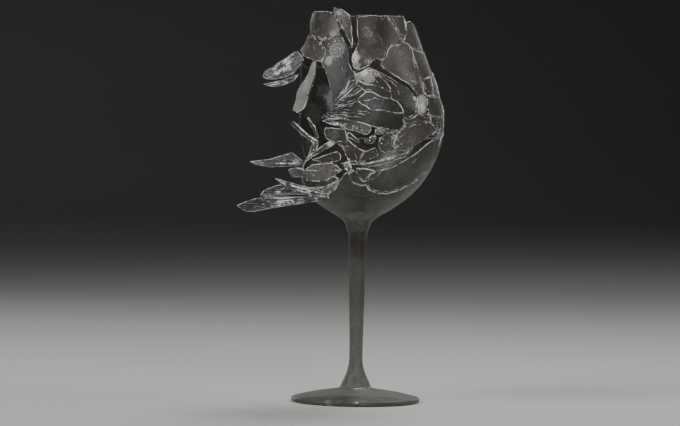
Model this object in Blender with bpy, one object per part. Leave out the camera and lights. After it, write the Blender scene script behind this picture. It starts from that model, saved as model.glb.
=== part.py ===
"""A broken wine glass: a large stemmed goblet whose bowl is shattered but still stands.

Metres, +Z up. The origin is the centre of the flat foot, on the table, and the stem's axis
is Z. The foot, the stem and the unbroken cup of the bowl are one blown solid. Above it every
shard of the wall is a solid of its own, drawn on the unrolled wall and then bent onto it.
"""
import math
import random

import bpy
import bmesh
from mathutils import Matrix, Vector

MM = 0.001

# Driving dimensions, in millimetres and degrees.
WALL = 1.4                # thickness of the bowl's wall
CUP_JOIN = 119.0          # height where the stem's flare becomes the bowl's wall
KERF = 0.42               # gap that every crack leaves between two shards
CRACK_STEP = 3.4          # mean length of one facet of a broken edge
CRACK_JAG = 0.34          # how far a broken edge strays from its line
UNEVEN_STEP = 0.2         # and how far its facets differ in length, as a part of CRACK_STEP
SHARPEST = 0.08           # keeps the mitre of a needle-sharp corner short
SETTLED_TILT = 1.0        # how far a loose shard tips
SETTLED_OUT = 0.3         # and how far it stands out of the wall

# Facets.
CELL_ANGLE = 10.0         # facets of a bent shard: degrees round the bowl
CELL_HEIGHT = 9.0         # and millimetres up it
CELL_EDGE = 0.15          # a facet line this near to a shard's end, in cells, is left out
SNAP = 0.12               # a corner this near to a facet line is taken as being on it
SNAP_PEELED = 0.3         # the same on the peeled shards
SIDES = 36                # sides of the foot, the stem and the cup, one for each CELL_ANGLE
SEAM = -60.0              # angle where the unrolled cup is closed
SAME_PLACE = 1e-4         # two places on the wall this near to each other are one
WELD = 0.01               # corners of the cup and the stem this near to each other are joined
SHARP_EDGE = 35           # edges that turn by more than this are shown sharp

# Glass, by what has become of it: linear colour and roughness. Its shards vary by SHADE.
GLASS = {"blown": ((0.20, 0.21, 0.18), 0.30), "shard": ((0.24, 0.24, 0.225), 0.35),
         "crazed": ((0.34, 0.34, 0.33), 0.5)}
CRAZED = ("dome", "fan")  # how the names of the whitened shards begin
SHADE = 0.12
IOR = 1.52
CLEARNESS = 0.4           # the part of the light that dusty glass lets through

# The bowl's outer surface: height above the table and radius there.
BOWL = ((106, 6.4), (112, 8.8), (119, 19.6), (126, 29.4), (134, 37.6), (144, 44.4), (156, 49.6),
        (170, 52.3), (184, 51.1), (198, 46.6), (212, 41.2), (226, 36.0), (240, 31.0), (254, 26.0))

# The foot from the middle of its underside out and up to the crease at the stem, the stem up to
# the cup, and the inside of the cup's bottom: height and radius.
FOOT = ((0, 0), (0, 20), (0, 38.2), (0.45, 39.5), (1.5, 40.0), (2.6, 39.55), (3.1, 38.6),
        (4.9, 31.0), (6.15, 24.5), (7.2, 18.0), (8.3, 11.2))
STEM = ((9.3, 9.7), (12.0, 8.6), (15.0, 7.1), (18.0, 5.8), (20.0, 5.2), (22.5, 4.6), (26.0, 4.2),
        (34.0, 4.15), (46.0, 4.35), (63.0, 4.78), (82.0, 5.1), (98.0, 5.45), (104.0, 6.0),
        (108.5, 7.2), (112.0, 8.9), (115.0, 12.9))
CUP_BOTTOM = ((118.8, 15.2), (117.4, 10.5), (116.5, 5.5), (116.2, 0))

# Where cracks meet or turn: degrees round the bowl (0 faces -Y, positive towards +X) and
# millimetres above the table.
JUNCTIONS = {
    # rim plates at the left, standing a little proud of the old rim
    "rim_a": (-71, 242), "rim_b": (-38, 242), "a3": (-35, 240), "a4": (-28.5, 238), "a5": (-24, 235),
    "a6": (-23, 230.5), "a7": (-19, 226.5), "a8": (-30, 225), "a9": (-43, 223.5), "a10": (-60, 227),
    "a11": (-72, 234), "a12": (-76, 240),
    "rim_c": (-35, 244.5), "rim_d": (-22, 243), "b3": (-12, 239.5), "b4": (-8, 231.5),
    "b5": (-6, 222.5),
    "b6": (-7, 219.5), "b7": (-9.5, 221), "b8": (-14, 226), "b9": (-19.5, 231),
    # rim plate in front and the chips to its right
    "rim_e": (-6, 239.5), "rim_f": (30, 239.5), "c3": (36.5, 233), "c4": (40.5, 229), "c5": (44, 223.5),
    "c6": (35, 221), "c7": (28.5, 221), "c8": (25, 218.5), "c9": (22.5, 214.5), "c10": (18, 211.5),
    "c11": (14, 213), "c12": (10, 211), "c13": (8, 209), "c14": (2, 206.5), "c15": (-2, 205.5),
    "c16": (-5.5, 207), "c17": (-8, 211.5), "c18": (-7.5, 215), "c19": (-5, 218), "c20": (-3, 223),
    "c21": (-4.5, 231.5), "rim_g": (57.5, 239.5), "e2": (58, 235.5), "e3": (54, 229),
    "f1": (70, 236.5), "f2": (84, 233), "f3": (97, 226), "f4": (95, 218), "f5": (80, 217),
    "f6": (60.5, 218),
    "f7": (54.5, 220), "f8": (49.5, 222.5), "f10": (96, 206),
    # the shoulder's right side
    "d1": (53.5, 216.5), "d2": (54.5, 210.5), "d3": (54.5, 205), "d4": (54.5, 199), "d5": (53, 191),
    "d6": (47, 191), "d7": (43.5, 194), "d8": (41.5, 196.5), "d9": (37.5, 198.5), "d10": (33, 200),
    "d11": (28, 202.5), "d12": (23, 205.5), "d13": (19, 207), "d14": (16.5, 209),
    "g1": (62, 201), "g2": (71, 202.5), "g3": (68, 195.5), "g4": (64, 190), "g7": (84, 204.5),
    "g8": (81, 190), "g9": (56, 178.5), "g10": (66.5, 177.5), "g12": (66, 170), "g13": (56.5, 174),
    "g14": (57, 166.5), "g15": (69, 165.5), "g16": (91, 184), "g17": (89, 177.5), "g18": (90, 170),
    "g19": (88, 166), "g21": (92, 196),
    # the crushed dome under the wide crack
    "h1": (-3, 203.5), "h2": (0, 204.5), "h3": (4.5, 206.5), "h4": (8, 207.5), "h5": (11, 206.5),
    "h6": (15.5, 202), "h7": (20, 198.5), "h8": (22.5, 195.5), "h9": (23, 192.5), "h10": (18.5, 194.5),
    "h11": (13.5, 196), "h12": (8.5, 197), "h13": (4.5, 197), "h14": (1, 198.5), "h15": (-2.5, 199.5),
    "h16": (22.5, 188.5), "h17": (18, 189), "h18": (13, 190.5), "h19": (9, 192.5), "h20": (4.5, 192.5),
    "h21": (1.5, 194.5), "h22": (-2.5, 197), "h23": (-1, 188.5), "h24": (27, 187), "h25": (30.5, 182.5),
    "h26": (31, 180), "h27": (26, 180), "h28": (21, 180.5), "h29": (17, 181.5), "h30": (7, 182),
    "h31": (4.5, 184), "h32": (1.5, 185), "h33": (-1, 187), "h34": (16, 204.5), "h35": (22, 202),
    "h36": (27.5, 199.5), "h37": (33, 197), "h38": (38, 195), "h39": (41.5, 193), "h40": (44, 189.5),
    "h41": (43.5, 185), "h42": (43.5, 180), "h43": (39.5, 177.5), "h44": (35, 176.5),
    "h45": (31.5, 177.5),
    "v4": (55.5, 187), "v5": (53, 183.5), "v6": (50.5, 180.5), "v7": (46, 178.5),
    # the fan that runs together at the hole's right side
    "l1": (-16, 223.5), "l2": (-11.5, 219), "l3": (-10, 214), "l4": (-9.5, 210), "l5": (-6.5, 206),
    "l6": (-8, 199), "l7": (-10.5, 193), "l8": (-16.5, 187.5), "l9": (-18.5, 184), "l10": (-20, 190),
    "l11": (-22.5, 195.5), "l12": (-25.5, 200.5), "l13": (-29.5, 205.5), "l14": (-34.5, 210),
    "l15": (-34.5, 218.5), "l16": (-32, 214.5),
    "k1": (-14, 187.5), "k2": (-7, 193), "k3": (-10.5, 187.5), "k4": (-2.5, 191.5), "k5": (-10, 184.5),
    "k6": (-5, 185.5),
    # the long wing and the ridged slat below it
    "i1": (-27.5, 176), "i2": (-24, 178.5), "i3": (-18.5, 182), "i5": (30, 176), "i6": (31.5, 173.5),
    "i7": (28, 169.5), "i8": (22.5, 169.5), "i9": (16.5, 171), "i10": (12, 171), "i11": (8, 172),
    "i12": (2, 174), "i13": (-5, 175.5), "i14": (-13, 176), "i15": (-20, 176),
    "j1": (-26, 174.5), "j2": (8, 169), "j3": (5.5, 166.5), "j4": (2, 167), "j5": (-5, 169),
    "j6": (-9.5, 170),
    "j7": (-14.5, 171), "j8": (-20, 172.5),
    # the small plates in the middle
    "m1": (10, 169.5), "m4": (22.5, 165), "m5": (18, 167.5), "m6": (14, 166.5), "m7": (10.5, 167),
    "n1": (31.5, 172), "n2": (38, 174), "n3": (46, 176), "n9": (48.5, 162.5), "n10": (41, 159),
    "n11": (33.5, 156.5), "n12": (28, 157), "n13": (23.5, 160.5), "n14": (27, 168),
    "o1": (3.5, 164.5), "o3": (12, 165), "o4": (11, 163), "o5": (9, 161), "o6": (6, 160.5),
    "o7": (3.5, 162),
    "p1": (13, 161.5), "p2": (14, 164.5), "p4": (18.5, 155.5), "p5": (15.5, 156.5), "p6": (13.5, 159),
    "q1": (1, 152), "q3": (8.5, 158), "q4": (11.5, 159), "q5": (14, 154.5), "q6": (13, 153),
    "q7": (8, 151.5),
    "q8": (1, 149.5),
    "r1": (-23.5, 171), "r2": (-18, 170.5), "r4": (-8.5, 167), "r5": (-8, 164.5), "r6": (-5.5, 162),
    "r7": (-0.5, 158.5), "r8": (4.5, 156.5), "r10": (-5, 148), "r11": (-8, 150), "r12": (-9.5, 153.5),
    "r13": (-11.5, 158), "r14": (-16, 161), "r15": (-20, 162.5), "r16": (-23, 163.5),
    "r17": (-24.5, 167),
    "s2": (-6.5, 168.2), "s3": (-2.8, 165.4), "s4": (0.6, 162.6), "s5": (-0.5, 161), "s6": (-3, 162),
    "s7": (-6, 164.2),
    "t2": (-1, 148), "t3": (8.5, 149.5), "t4": (15.5, 151), "t5": (23, 153), "t6": (29, 154.5),
    "t7": (34.5, 155.5), "t9": (41.5, 156.5), "t10": (35.5, 153), "t11": (30, 151.5),
    "t12": (22.5, 149.5),
    "t13": (15, 147.5), "t14": (7, 146.5),
    # the plates that line the cup's broken edge
    "u1": (10, 133), "u2": (7.5, 136), "u3": (8, 138.5), "u4": (13, 140), "u5": (16, 142.5),
    "u6": (17, 145),
    "u7": (23, 146), "u8": (30, 149), "u9": (36, 151.5), "u10": (41.5, 154), "u11": (48, 158),
    "u12": (54.5, 161.5), "u13": (59, 163.5), "u15": (75, 157), "u16": (72, 151), "u17": (70, 146),
    "u18": (66, 142.5), "u19": (60.5, 138), "u20": (52.5, 135), "u21": (42.5, 132),
    "u22": (30.5, 130.5),
    "u23": (20.5, 130.5),
    "w1": (-2, 146), "w2": (3.5, 146), "w3": (9, 145.5), "w4": (14, 144.5), "w5": (9.5, 143),
    "w6": (7, 140),
    "w7": (4, 138), "w8": (1.5, 140), "w9": (-2, 144.5), "w10": (-5, 145), "w11": (-9, 143.5),
    "w15": (-14, 148.8),
    "w12": (-6.5, 138.5), "w13": (-3, 136.5), "w14": (2.5, 135.5),
    "x1": (-48, 144), "x2": (-38.5, 147.5), "x3": (-28.5, 148.5), "x4": (-21, 149), "x5": (-16, 147),
    "x6": (-12.5, 144.5), "x7": (-23, 144), "x8": (-34, 144), "x9": (-57, 139), "x11": (-20, 141),
    "x12": (-28, 138.5), "x13": (-41.5, 137.5), "x14": (-53, 137.5),
    "y1": (-12.5, 142), "y2": (-16, 138.5), "y3": (-24, 132.5), "y4": (-38, 128.5), "y5": (-60, 126.5),
    "y6": (-23, 136.5), "y7": (-33, 134), "y8": (-51, 133), "y9": (-67, 132),
    "y10": (-83, 138.5), "y11": (-86, 143), "y12": (-72, 144.5), "y13": (-57, 145.3),
    "z2": (-67, 222), "z3": (-60, 213.5), "z4": (-51, 212.3), "z5": (-43, 211), "z9": (-39.5, 210.6),
    "z6": (-74, 217.5),
    "v8": (-38, 150.5), "v9": (-26, 153.5), "v10": (-15, 156.5), "v11": (-12.5, 153.5),
    "v12": (-13.5, 150.5),
    "v13": (-49.5, 146), "v14": (-42, 151), "v15": (-31.5, 156.5), "v16": (-23, 161.5),
    "v17": (-21, 158),
    "v18": (-31, 154),
    # the splinters that stand in the hole
    "tb": (-37, 204), "tc": (-38, 193.5), "td": (-39, 185), "te": (-41, 181),
    "tf": (-46, 179), "tg": (-52, 180), "th": (-50.5, 187), "ti": (-51.5, 192), "tj": (-50, 196),
    "tk": (-46, 201),
    "sa": (-29.5, 159), "sb": (-30, 162.5), "sc": (-34, 160.5), "sd": (-37, 156),
    "na": (-33, 164), "nb": (-42, 169), "nc": (-52, 174.5), "nd": (-55, 172.5), "ne": (-45, 167),
    "nf": (-28, 164.5), "ng": (-30.5, 171), "nh": (-36.5, 177), "ni": (-38, 176), "nj": (-32.5, 168.5),
    # the back, where cracks are few and long
    "back_a": (97, 165.5), "back_b": (130, 163), "back_c": (133, 182), "back_d": (128, 207),
    "back_e": (150, 161), "back_f": (178, 163), "back_g": (174, 186), "back_h": (180, 205),
    "back_i": (203, 159), "back_j": (215, 155), "back_k": (226, 149), "back_n": (232, 207),
    "back_o": (227, 176), "back_p": (231, 193),
    "back_q": (243, 210), "back_r": (106, 205.5), "back_s": (154, 207.5), "back_t": (210, 208),
    "back_u": (142, 222), "rim_h": (136, 240), "rim_i": (124, 239.5), "back_v": (112, 233),
    "back_w": (190, 221), "rim_j": (194, 240), "rim_k": (233, 240),
    "rim_l": (248, 240), "back_y": (245, 231), "back_z": (249, 221),
    "cup_a": (78, 165.5), "cup_b": (80, 165.8), "cup_c": (240, 140), "cup_d": (257, 128.5),
    "cup_e": (280, 125.5),
}

# Each shard of the wall: the junctions round it.
SHARDS = {
    "rim_plate_left": "rim_a rim_b a3 a4 a5 a6 a7 a8 a9 a10 a11 a12",
    "rim_spike": "rim_c rim_d b3 b4 b5 b6 b7 b8 b9 a6 a5 a4 a3",
    "rim_plate_front": "rim_e rim_f c3 c4 c5 c6 c7 c8 c9 c10 c11 c12 c13 c14 c15 c16 c17 c18 c19"
                       " c20 c21",
    "rim_chip": "rim_f rim_g e2 e3 c5 c4 c3",
    "rim_plate_right": "c5 e3 e2 f1 f2 f3 f4 f5 f6 f7 f8",
    "shoulder_strip_right": "f7 f6 f5 f4 f10 g7 g2 g1 d4 d3 d2 d1",
    "shoulder_plate_front": "c5 f8 f7 d1 d2 d3 d4 d5 d6 d7 d8 d9 d10 d11 d12 d13 d14 c10 c9 c8 c7"
                            " c6",
    "shoulder_splinter": "d4 g1 g2 g3 g4 d5",
    "side_plate_upper": "g2 g7 f10 g21 g8 g4 g3",
    "side_chip": "h40 d6 d5 v4 v5 v6 v7 h42 h41",
    "side_plate_middle": "d5 g4 g8 g16 g17 g10 g9 v6 v5 v4",
    "side_plate_lower": "g9 g10 g17 g18 g19 g15 g14 g12 g13",
    "dome_crown": "h1 h2 h3 h4 h5 h6 h7 h8 h9 h10 h11 h12 h13 h14 h15",
    "dome_right": "h5 h34 h35 h36 h37 h38 h39 h40 h41 h42 h43 h44 h45 h26 h25 h24 h16 h9 h8 h7 h6",
    "dome_band": "h15 h14 h13 h12 h11 h10 h9 h16 h17 h18 h19 h20 h21 h22",
    "dome_lens": "h23 h20 h19 h18 h17 h16 h24 h25 h26 h27 h28 h29 h30 h31 h32 h33",
    "fan_plate": "a7 l1 l2 l3 l4 l5 h1 h15 l6 l7 l8 l9 l10 l11 l12 l13 l14 l16 l15 a9 a8",
    "fan_blade_upper": "h15 h22 k2 k1 l9 l8 l7 l6",
    "fan_blade_middle": "h22 h21 k4 k3 l9 k1 k2",
    "fan_blade_lower": "h21 h20 h23 h33 k6 k5 i3 l9 k3 k4",
    "wing": "i1 i2 i3 k5 k6 h33 h32 h31 h30 h29 h28 h27 h26 h45 i5 i6 i7 i8 i9 i10 i11 i12 i13"
            " i14 i15",
    "ridged_slat": "i15 i14 i13 i12 i11 j2 j3 j4 j5 j6 j7 j8 j1",
    "middle_chip": "m1 i10 i9 i8 i7 n14 m4 m5 m6 m7",
    "middle_crumb": "o1 m7 o3 o4 o5 o6 o7",
    "middle_plate": "p1 p2 m5 m4 n13 n12 p4 p5 p6",
    "middle_plate_low": "q1 r8 q3 q4 q5 q6 q7 q8",
    "flank_plate": "i7 n1 n2 n3 g13 g12 g14 n9 n10 n11 n12 n13 m4 n14",
    "flank_strip": "i6 i5 h45 h44 h43 h42 v7 v6 g9 g13 n3 n2 n1 i7",
    "left_plate": "r1 r2 j6 r4 r5 r6 r7 r8 q1 q8 t2 r10 r11 r12 r13 r14 r15 r16 r17",
    "left_sliver": "r4 s2 s3 s4 s5 s6 s7 r5",
    "long_slat": "t2 q8 t3 t4 t5 t6 t7 n10 t9 t10 t11 t12 t13 t14",
    "cup_chip": "w1 w2 w3 w4 w5 w6 u3 w7 w8 w9",
    "cup_chip_left": "w11 w15 r11 r10 w10 w9 w8 w7 u3 u2 w14 w13 w12",
    "cup_crescent": "u1 u2 u3 u4 u5 u6 u7 u8 u9 u10 u11 u12 u13 g15 u15 u16 u17 u18 u19 u20 u21"
                    " u22 u23",
    "cup_lobe": "w6 w5 w4 u6 u5 u4 u3",
    "left_leaf_top": "x1 x2 x3 x4 x5 x6 x7 x8",
    "left_leaf_middle": "x9 x1 x8 x7 x6 x11 x12 x13 x14",
    "left_leaf_dark": "x14 x13 x12 x11 y2 y6 y7 y8",
    "left_band": "y9 y8 y7 y6 y2 y3 y4 y5",
    "left_edge_plate": "x9 x1 y13 y12 y11 y10",
    "left_lens": "v8 v9 v10 v11 v12 x4 x3",
    "left_dagger": "v13 v14 v15 v16 r15 r14 v17 v18",
    "left_shoulder": "a9 a10 z2 z6 z3 z4 z5 z9 l14 l16 l15",
    "hole_splinter": "z5 z9 tb tc td te tf tg th ti tj tk",
    "hole_star_chip": "v14 v15 sa sb sc sd",
    "hole_needle_left": "sc sb na nb nc nd ne",
    "hole_needle_right": "sb sa nf ng nh ni nj",
    "back_side_plate": "f10 back_r back_d back_c back_b back_a g19 g18 g17 g16 g8 g21",
    "back_middle_plate": "back_d back_s back_h back_g back_f back_e back_b back_c",
    "back_left_plate": "back_h back_t back_n back_q back_p back_o back_k back_j back_i back_f"
                       " back_g",
    "back_rim_right": "f3 back_v rim_i rim_h back_u back_s back_d back_r f10 f4",
    "back_rim_middle": "rim_h rim_j back_w back_t back_h back_s back_u",
    "back_rim_left": "rim_j rim_k rim_l back_y back_z back_q back_n back_t back_w",
}

# Shards pushed out of the wall by this much, in millimetres; the rest by less than SETTLED_OUT.
PROUD = {"cup_crescent": 0.7, "cup_lobe": 0.7, "rim_spike": 0.9, "side_plate_upper": 0.8,
         "hole_splinter": 0.8, "ridged_slat": 0.7, "hole_needle_right": 0.5}

# Shards that stick out of the left side, peeled away from the wall. Each outline is X and Z in
# millimetres as seen from the front. A shard's surface passes through y at its first point, and
# runs back by the slopes in x and z, bowed by a radius.
PEELED = {
    "upper_fan": dict(y=-19.0, slope_x=-0.35, slope_z=0.25, bow=60, outline=(
        (-34.6, 211.9), (-38.8, 217.2), (-44.4, 213.6), (-52.5, 208.1), (-59.2, 203.9), (-59.9, 200.3),
        (-56.0, 198.9), (-47.6, 199.9), (-42.1, 201.8), (-39.5, 204.6), (-37.6, 207.0))),
    "upper_slat": dict(y=-21.1, slope_x=-0.3, slope_z=-0.3, bow=45, outline=(
        (-37.4, 203.0), (-41.6, 201.3), (-47.7, 199.0), (-54.0, 197.4), (-60.3, 196.2), (-54.3, 194.6),
        (-46.9, 195.4), (-40.0, 198.8))),
    "middle_blade": dict(y=-22.0, slope_x=0.2, slope_z=-0.5, bow=80, outline=(
        (-33.4, 146.6), (-34.8, 149.6), (-41.2, 154.8), (-46.0, 153.2), (-54.7, 150.3), (-67.0, 148.7),
        (-63.3, 146.6), (-54.6, 145.3), (-44.0, 145.9))),
    "low_blade": dict(y=-16.7, slope_x=0.12, slope_z=-0.3, bow=90, outline=(
        (-24.6, 124.8), (-28.0, 127.6), (-40.0, 127.2), (-52.0, 127.0), (-59.0, 126.9), (-63.0, 125.8),
        (-69.9, 123.5), (-75.2, 120.9), (-70.8, 117.9), (-66.5, 117.0), (-59.2, 118.6), (-45.0, 121.3))),
    "low_leaf": dict(y=-18.0, slope_x=-0.25, slope_z=-0.2, bow=60, outline=(
        (-29.4, 128.9), (-32.8, 132.4), (-36.0, 134.2), (-46.6, 135.0), (-51.2, 133.8), (-58.0, 131.2),
        (-60.5, 127.8), (-52.0, 127.2), (-42.0, 128.4))),
    "low_needle": dict(y=-28.4, slope_x=-0.6, slope_z=-0.9, bow=60, outline=(
        (-18.0, 126.8), (-19.0, 130.4), (-30.0, 133.2), (-42.0, 136.2), (-51.4, 138.8), (-47.5, 134.6),
        (-42.6, 132.2), (-30.0, 128.6))),
}

# The broken edge of the cup, once round from the left.
CUP_EDGE = ("y5 y4 y3 y2 y1 w11 w12 w13 w14 u2 u1 u23 u22 u21 u20 u19 u18 u17 u16 u15 cup_a cup_b"
            " g19 back_a back_b back_e back_f back_i back_j back_k cup_c cup_d cup_e")


def clear_scene():
    for thing in list(bpy.data.objects):
        bpy.data.objects.remove(thing)


def curve_at(stations, place):
    """Value and slope at a place on the smooth curve through the stations."""
    count = len(stations)
    k = max(1, next((i for i in range(count) if stations[i][0] > place), count - 1))
    (x0, y0), (x1, y1) = stations[k - 1], stations[k]

    def tangent(i):
        before, after = stations[max(i - 1, 0)], stations[min(i + 1, count - 1)]
        return (after[1] - before[1]) / (after[0] - before[0])

    width = x1 - x0
    t = (place - x0) / width
    m0, m1 = tangent(k - 1) * width, tangent(k) * width
    value = ((2 * t**3 - 3 * t**2 + 1) * y0 + (t**3 - 2 * t**2 + t) * m0
             + (3 * t**2 - 2 * t**3) * y1 + (t**3 - t**2) * m1)
    rise = ((6 * t**2 - 6 * t) * y0 + (3 * t**2 - 4 * t + 1) * m0
            + (6 * t - 6 * t**2) * y1 + (3 * t**2 - 2 * t) * m1)
    return value, rise / width


def on_wall(angle, height, depth):
    """The point of the bowl's wall at an angle and a height, a depth below its outer face."""
    radius, slope = curve_at(BOWL, height)
    turn = math.radians(angle)
    length = math.hypot(1, slope)
    across = radius - depth / length
    return Vector((across * math.sin(turn), -across * math.cos(turn), height + depth * slope / length)) * MM


def span(here, there):
    """The vector between two places on the wall, in millimetres along it."""
    radius, slope = curve_at(BOWL, (here[1] + there[1]) / 2)
    return Vector((math.radians(there[0] - here[0]) * radius, (there[1] - here[1]) * math.hypot(1, slope)))


def moved(place, shift):
    """A place on the wall shifted by a vector in millimetres along it."""
    radius, slope = curve_at(BOWL, place[1])
    return (place[0] + math.degrees(shift.x / radius), place[1] + shift.y / math.hypot(1, slope))


def cracked_line(start, end, places):
    """Places from one junction up to the next, along a slightly jagged crack.

    Both shards beside a crack get the same places, because its jags are drawn from its name.
    """
    first, last = sorted((start, end))
    a, b = places[first], places[last]
    path = span(a, b)
    jags = random.Random(first + last)
    steps = max(1, round(path.length / CRACK_STEP))
    if start.startswith("rim") and end.startswith("rim"):
        steps = 1
    side = Vector((-path.y, path.x)).normalized()
    line = []
    for step in range(1, steps):
        part = (step + jags.uniform(-UNEVEN_STEP, UNEVEN_STEP)) / steps
        place = (a[0] + (b[0] - a[0]) * part, a[1] + (b[1] - a[1]) * part)
        line.append(moved(place, side * jags.uniform(-CRACK_JAG, CRACK_JAG)))
    if first != start:
        line.reverse()
    return [places[start]] + line


def drawn_in(before, place, after, distance):
    """A corner of an outline moved to the left of its direction of travel."""
    into, out = span(before, place).normalized(), span(place, after).normalized()
    n_in, n_out = Vector((-into.y, into.x)), Vector((-out.y, out.x))
    return moved(place, (n_in + n_out) * (distance / max(SHARPEST, 1 + n_in.dot(n_out))))


def inset(outline, distance):
    """The closed outline drawn in by a distance, measured along the wall."""
    pairs = list(zip(outline, outline[1:] + outline[:1]))
    if sum(a[0] * b[1] - b[0] * a[1] for a, b in pairs) < 0:
        outline = outline[::-1]
    corners = zip(outline[-1:] + outline[:-1], outline, outline[1:] + outline[:1])
    return [drawn_in(before, place, after, distance) for before, place, after in corners]


def cut_along(shape, point, across, snap):
    """Cut a flat outline along a line, so that it can bend there."""
    bmesh.ops.bisect_plane(shape, geom=shape.verts[:] + shape.edges[:] + shape.faces[:], dist=snap,
                           plane_co=point, plane_no=across)


def thicken(shape, step):
    """Turn a flat outline into a closed plate."""
    bmesh.ops.triangulate(shape, faces=shape.faces[:])
    grown = bmesh.ops.extrude_face_region(shape, geom=shape.faces[:])["geom"]
    bmesh.ops.translate(shape, verts=[v for v in grown if isinstance(v, bmesh.types.BMVert)], vec=step)


def flat_plate(outline):
    """A closed plate on the unrolled wall: X is the angle, Y the height and Z minus the depth."""
    shape = bmesh.new()
    shape.faces.new([shape.verts.new((angle, height, 0)) for angle, height in outline])
    angles, heights = [p[0] for p in outline], [p[1] for p in outline]
    for low, high, cell, axis in ((min(angles), max(angles), CELL_ANGLE, Vector((1, 0, 0))),
                                  (min(heights), max(heights), CELL_HEIGHT, Vector((0, 1, 0)))):
        for line in range(math.ceil(low / cell), math.floor(high / cell) + 1):
            if low + CELL_EDGE * cell < line * cell < high - CELL_EDGE * cell:
                cut_along(shape, axis * line * cell, axis, SNAP)
    thicken(shape, (0, 0, -WALL))
    return shape


def bend_onto_wall(shape):
    for vert in shape.verts:
        vert.co = on_wall(vert.co.x, vert.co.y, -vert.co.z)


def glass(name, kind):
    """A material for one piece, a little lighter or darker than the next one's."""
    colour, roughness = GLASS[kind]
    shade = 1 + random.Random("shade " + name).uniform(-SHADE, SHADE)
    material = bpy.data.materials.new(name + "_glass")
    material.use_nodes = True
    shader = material.node_tree.nodes["Principled BSDF"]
    shader.inputs["Base Color"].default_value = (*(shade * value for value in colour), 1)
    shader.inputs["Roughness"].default_value = roughness
    shader.inputs["Metallic"].default_value = 0
    shader.inputs["IOR"].default_value = IOR
    shader.inputs["Transmission Weight"].default_value = CLEARNESS
    return material


def finish(name, shape, kind):
    """Make a named object of a shape, with its faces outwards."""
    bmesh.ops.recalc_face_normals(shape, faces=shape.faces[:])
    bmesh.ops.triangulate(shape, faces=shape.faces[:])
    mesh = bpy.data.meshes.new(name)
    shape.to_mesh(mesh)
    shape.free()
    mesh.materials.append(glass(name, kind))
    mesh.shade_smooth()
    mesh.set_sharp_from_angle(angle=math.radians(SHARP_EDGE))
    bpy.context.scene.collection.objects.link(bpy.data.objects.new(name, mesh))


def settle(shape, name):
    """Tip a shard a little about its own middle, as loose glass settles, and push it out."""
    loose = random.Random("settled " + name)
    middle = sum((v.co for v in shape.verts), Vector()) / len(shape.verts)
    out = Vector((middle.x, middle.y, 0)).normalized()
    level = out.cross(Vector((0, 0, 1)))
    nod = Matrix.Rotation(math.radians(loose.uniform(-SETTLED_TILT, SETTLED_TILT)), 4, level)
    yaw = Matrix.Rotation(math.radians(loose.uniform(-SETTLED_TILT, SETTLED_TILT)), 4, "Z")
    bmesh.ops.transform(shape, verts=shape.verts[:], space=Matrix.Translation(-middle), matrix=nod @ yaw)
    pushed = PROUD.get(name, loose.uniform(0, SETTLED_OUT))
    bmesh.ops.translate(shape, verts=shape.verts[:], vec=out * pushed * MM)


def wall_shard(name, junction_names):
    """A shard drawn on the unrolled wall, bent onto the bowl and settled."""
    names = junction_names.split()
    outline = []
    for start, end in zip(names, names[1:] + names[:1]):
        outline += cracked_line(start, end, JUNCTIONS)
    shape = flat_plate(inset(outline, KERF / 2))
    bend_onto_wall(shape)
    settle(shape, name)
    finish(name, shape, "crazed" if name.startswith(CRAZED) else "shard")


def peeled_shard(name, y, slope_x, slope_z, bow, outline):
    """A shard drawn as it is seen from the front, then laid back and bowed."""
    shape = bmesh.new()
    shape.faces.new([shape.verts.new((x, 0, z)) for x, z in outline])
    xs = [x for x, z in outline]
    for line in range(math.ceil(min(xs) / CELL_HEIGHT), math.floor(max(xs) / CELL_HEIGHT) + 1):
        cut_along(shape, (line * CELL_HEIGHT, 0, 0), (1, 0, 0), SNAP_PEELED)
    thicken(shape, (0, WALL, 0))
    x0, z0 = outline[0]
    for vert in shape.verts:
        x, z = vert.co.x - x0, vert.co.z - z0
        vert.co.y += y + slope_x * x + slope_z * z + math.copysign(x * x / (2 * bow), slope_x)
    bmesh.ops.scale(shape, verts=shape.verts[:], vec=(MM, MM, MM))
    finish(name, shape, "shard")


def turned(shape, profile):
    """Spin a profile of (height, radius) pairs round the stem's axis."""
    verts = [shape.verts.new((radius * MM, 0, height * MM)) for height, radius in profile]
    edges = [shape.edges.new(pair) for pair in zip(verts, verts[1:])]
    bmesh.ops.spin(shape, geom=verts + edges, cent=(0, 0, 0), axis=(0, 0, 1), angle=math.tau,
                   steps=SIDES, use_merge=True)


def cup_wall():
    """The cup's wall from CUP_JOIN up to its broken edge, open below."""
    names = CUP_EDGE.split()
    last = "back to " + names[0]
    angle, height = JUNCTIONS[names[0]]
    places = {**JUNCTIONS, last: (angle + 360, height)}
    edge = []
    for start, end in zip(names, names[1:] + [last]):
        edge += cracked_line(start, end, places)
    before = (edge[-1][0] - 360, edge[-1][1])
    after = (edge[0][0] + 360, edge[0][1])
    ring = [before] + edge + [after]
    top = [drawn_in(*ring[i - 1:i + 2], -KERF / 2) for i in range(1, len(edge) + 1)]
    top[0] = (SEAM, top[0][1])
    outline = top + [(SEAM + 360, top[0][1]), (SEAM + 360, CUP_JOIN), (SEAM, CUP_JOIN)]
    wall = flat_plate(outline)
    for axis, place in ((1, CUP_JOIN), (0, SEAM), (0, SEAM + 360)):
        open_side = [f for f in wall.faces if all(abs(v.co[axis] - place) < SAME_PLACE for v in f.verts)]
        bmesh.ops.delete(wall, geom=open_side, context="FACES")
    bend_onto_wall(wall)
    return wall


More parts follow.
